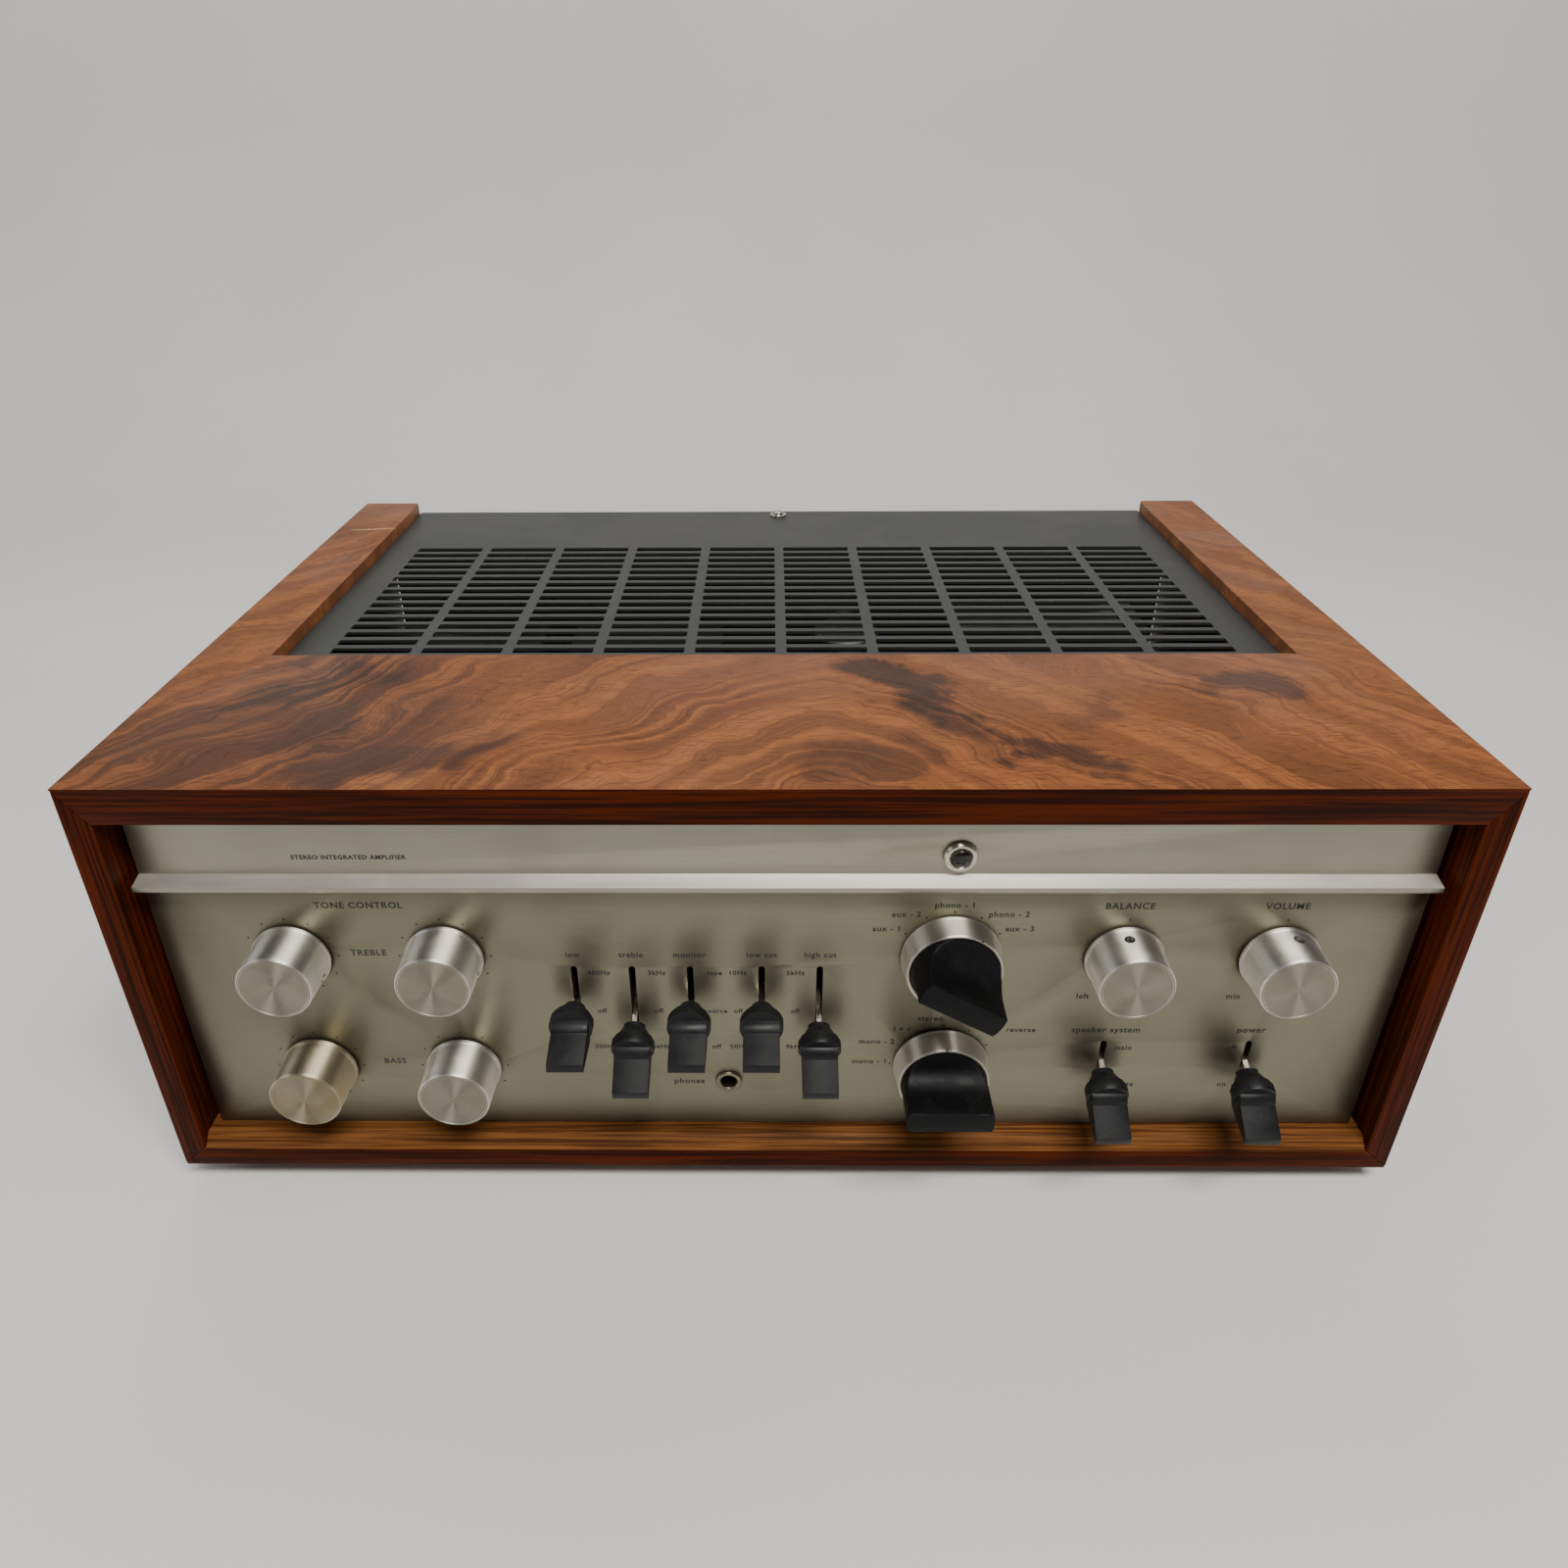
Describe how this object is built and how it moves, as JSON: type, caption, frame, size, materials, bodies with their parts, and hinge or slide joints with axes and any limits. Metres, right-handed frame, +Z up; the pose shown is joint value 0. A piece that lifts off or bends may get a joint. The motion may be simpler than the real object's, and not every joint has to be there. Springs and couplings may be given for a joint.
{
  "type": "integrated amplifier",
  "caption": "Valve hi-fi integrated amplifier in a wooden sleeve, with turning knobs, rotary selectors and tilting lever switches on a brushed metal panel.",
  "frame": {"origin": "on the floor under the middle of the whole object, levers and rear sockets included", "axes": "+X to the right of someone facing the controls, +Y towards the back, +Z up"},
  "size_m": [0.482, 0.3537, 0.1875],
  "materials": {
    "walnut": "oiled veneer",
    "black_paint": "satin",
    "zinc": "plated",
    "plated_steel": "passivated",
    "rubber": "matt",
    "panel_aluminium": "fine brushed, anodised",
    "bright_trim": "turned",
    "lamp_lens": "clear to smoky",
    "nickel": "plated",
    "bakelite": "moulded",
    "transformer_paint": "semi-gloss",
    "can_aluminium": "plain",
    "valve_glass": "clear",
    "black_plastic": "satin",
    "knob_aluminium": "spun face, turned side",
    "shaft_steel": "turned"
  },
  "bodies": {
    "amplifier": {"cabinet_top": "walnut", "cabinet_left_side": "walnut", "cabinet_right_side": "walnut", "cabinet_front_rail": "walnut", "top_grille": "black_paint", "grille_screw": "zinc", "chassis_frame": "plated_steel", "bottom_cover": "black_paint", "feet": "rubber", "rear_panel": "black_paint", "subpanel": "plated_steel", "front_panel": "panel_aluminium", "header_trim": "panel_aluminium", "lamp_bezel": "bright_trim", "lamp_lens": "lamp_lens", "headphone_jack": "nickel", "potentiometers": "plated_steel", "rotary_switches": "bakelite", "lever_switches": "bakelite", "power_transformer": "transformer_paint", "output_transformers": "transformer_paint", "filter_capacitors": "can_aluminium", "output_valves": "valve_glass", "valve_sockets": "bakelite", "small_valves": "valve_glass", "phono_sockets": "nickel", "speaker_terminals": "black_plastic", "mains_inlet": "black_plastic"},
    "treble_left_knob": {"knob_treble_left": "knob_aluminium", "shaft_treble_left": "shaft_steel"},
    "treble_right_knob": {"knob_treble_right": "knob_aluminium", "shaft_treble_right": "shaft_steel"},
    "bass_left_knob": {"knob_bass_left": "knob_aluminium", "shaft_bass_left": "shaft_steel"},
    "bass_right_knob": {"knob_bass_right": "knob_aluminium", "shaft_bass_right": "shaft_steel"},
    "balance_knob": {"knob_balance": "knob_aluminium", "shaft_balance": "shaft_steel"},
    "volume_knob": {"knob_volume": "knob_aluminium", "shaft_volume": "shaft_steel"},
    "source_selector": {"skirt_source_selector": "bright_trim", "handle_source_selector": "black_plastic", "shaft_source_selector": "shaft_steel"},
    "mode_selector": {"skirt_mode_selector": "bright_trim", "handle_mode_selector": "black_plastic", "shaft_mode_selector": "shaft_steel"},
    "lever_1": {"stalk_lever_1": "shaft_steel", "cap_lever_1": "black_plastic"},
    "lever_2": {"stalk_lever_2": "shaft_steel", "cap_lever_2": "black_plastic"},
    "lever_3": {"stalk_lever_3": "shaft_steel", "cap_lever_3": "black_plastic"},
    "lever_4": {"stalk_lever_4": "shaft_steel", "cap_lever_4": "black_plastic"},
    "lever_5": {"stalk_lever_5": "shaft_steel", "cap_lever_5": "black_plastic"},
    "lever_6": {"stalk_lever_6": "shaft_steel", "cap_lever_6": "black_plastic"},
    "lever_7": {"stalk_lever_7": "shaft_steel", "cap_lever_7": "black_plastic"}
  },
  "joints": [
    {"name": "treble_left_turn", "type": "hinge", "parent": "amplifier", "child": "treble_left_knob", "pos_m": [-0.1805, -0.1456, 0.1097], "axis": [0, -1, 0], "range_deg": [-150, 150]},
    {"name": "treble_right_turn", "type": "hinge", "parent": "amplifier", "child": "treble_right_knob", "pos_m": [-0.1242, -0.1456, 0.1097], "axis": [0, -1, 0], "range_deg": [-150, 150]},
    {"name": "bass_left_turn", "type": "hinge", "parent": "amplifier", "child": "bass_left_knob", "pos_m": [-0.1805, -0.1456, 0.0549], "axis": [0, -1, 0], "range_deg": [-150, 150]},
    {"name": "bass_right_turn", "type": "hinge", "parent": "amplifier", "child": "bass_right_knob", "pos_m": [-0.1242, -0.1456, 0.0549], "axis": [0, -1, 0], "range_deg": [-150, 150]},
    {"name": "balance_turn", "type": "hinge", "parent": "amplifier", "child": "balance_knob", "pos_m": [0.1242, -0.1456, 0.1097], "axis": [0, -1, 0], "range_deg": [-150, 150]},
    {"name": "volume_turn", "type": "hinge", "parent": "amplifier", "child": "volume_knob", "pos_m": [0.1805, -0.1456, 0.1097], "axis": [0, -1, 0], "range_deg": [-150, 150]},
    {"name": "source_selector_turn", "type": "hinge", "parent": "amplifier", "child": "source_selector", "pos_m": [0.0613, -0.1456, 0.1103], "axis": [0, -1, 0], "range_deg": [-30, 90]},
    {"name": "mode_selector_turn", "type": "hinge", "parent": "amplifier", "child": "mode_selector", "pos_m": [0.0613, -0.1456, 0.0562], "axis": [0, -1, 0], "range_deg": [-60, 90]},
    {"name": "lever_1_tilt", "type": "hinge", "parent": "amplifier", "child": "lever_1", "pos_m": [-0.0774, -0.1216, 0.089], "axis": [1, 0, 0], "range_deg": [-20, 20]},
    {"name": "lever_2_tilt", "type": "hinge", "parent": "amplifier", "child": "lever_2", "pos_m": [-0.0559, -0.1216, 0.089], "axis": [1, 0, 0], "range_deg": [-40, 0]},
    {"name": "lever_3_tilt", "type": "hinge", "parent": "amplifier", "child": "lever_3", "pos_m": [-0.0344, -0.1216, 0.089], "axis": [1, 0, 0], "range_deg": [-20, 20]},
    {"name": "lever_4_tilt", "type": "hinge", "parent": "amplifier", "child": "lever_4", "pos_m": [-0.0079, -0.1216, 0.089], "axis": [1, 0, 0], "range_deg": [-20, 20]},
    {"name": "lever_5_tilt", "type": "hinge", "parent": "amplifier", "child": "lever_5", "pos_m": [0.0136, -0.1216, 0.089], "axis": [1, 0, 0], "range_deg": [-40, 0]},
    {"name": "lever_6_tilt", "type": "hinge", "parent": "amplifier", "child": "lever_6", "pos_m": [0.1233, -0.1216, 0.0658], "axis": [1, 0, 0], "range_deg": [-20, 0]},
    {"name": "lever_7_tilt", "type": "hinge", "parent": "amplifier", "child": "lever_7", "pos_m": [0.1788, -0.1216, 0.0658], "axis": [1, 0, 0], "range_deg": [-20, 0]}
  ]
}
